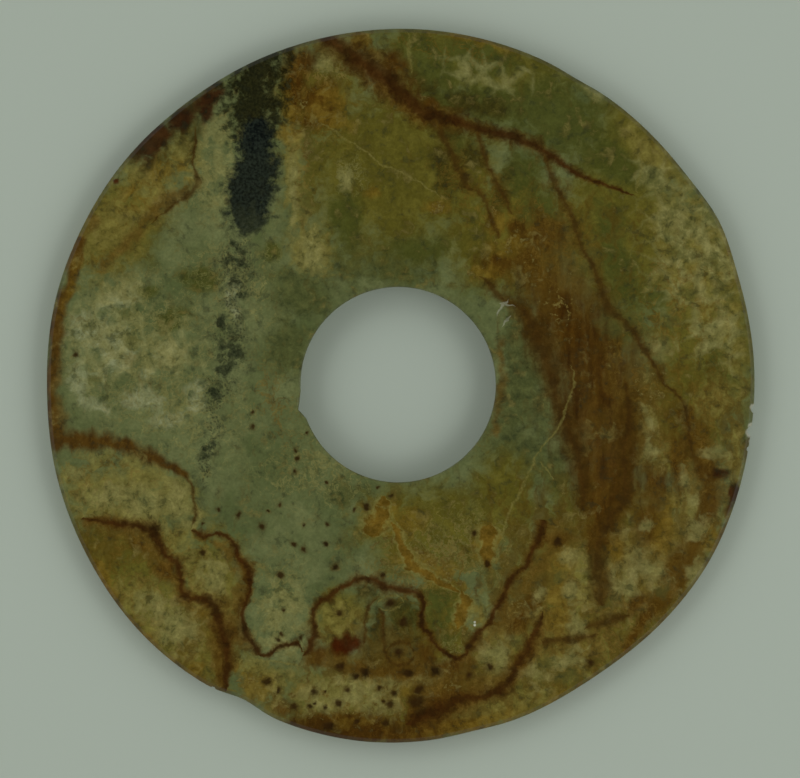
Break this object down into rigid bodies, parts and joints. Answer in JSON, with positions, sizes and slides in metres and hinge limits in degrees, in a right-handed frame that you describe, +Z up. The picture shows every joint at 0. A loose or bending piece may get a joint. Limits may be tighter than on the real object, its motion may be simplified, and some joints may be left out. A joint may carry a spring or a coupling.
{
  "type": "jade bi disc",
  "caption": "Thin ancient nephrite disc with a round hole bored through its middle, worn rim, plain polished faces and mottled stone.",
  "frame": {"origin": "under the middle of the disc, on the plane that its underside lies on", "axes": "+Z up out of the polished upper face, along the bore; +Y towards the top of the picture and +X towards its right"},
  "size_m": [0.1793, 0.1809, 0.007],
  "materials": {
    "jade": "satin hand polish on mottled olive and russet nephrite"
  },
  "bodies": {
    "root": {"jade_disc": "jade"}
  },
  "joints": []
}
